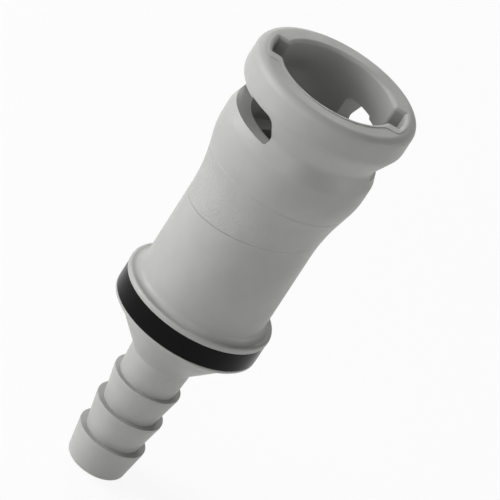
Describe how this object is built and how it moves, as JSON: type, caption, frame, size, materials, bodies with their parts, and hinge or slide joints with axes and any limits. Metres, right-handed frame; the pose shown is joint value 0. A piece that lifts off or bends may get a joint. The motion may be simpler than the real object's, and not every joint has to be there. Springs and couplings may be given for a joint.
{
  "type": "quick disconnect coupling",
  "caption": "In-line plastic quick disconnect coupling body with a twist lock socket, a sprung shut-off valve, a colour ring and a hose barb tail.",
  "frame": {"origin": "centre of the hose barb's end face, which is the lowest point of the part", "axes": "+Z along the flow axis from the hose barb to the socket's mouth; the two keyways lie along +X and -X"},
  "size_m": [0.0262, 0.0262, 0.074],
  "materials": {
    "housing": "satin moulded grey",
    "ring": "glossy black",
    "valve": "matt moulded dark grey",
    "seal": "matt black",
    "spring": "drawn stainless wire"
  },
  "bodies": {
    "coupling": {"coupling_body": "housing", "hose_barb": "housing", "id_ring": "ring", "nose_seal": "seal", "plug_seal": "seal", "spring_guide": "valve", "valve_spring": "spring"},
    "valve": {"valve_poppet": "valve", "poppet_seal": "seal"}
  },
  "joints": [
    {"name": "valve_slide", "type": "slide", "parent": "coupling", "child": "valve", "axis": [0, 0, -1], "range_m": [0, 0.0032], "stiffness_N_per_m": 400, "springref_m": -0.004, "deforming": ["valve_spring"]}
  ]
}
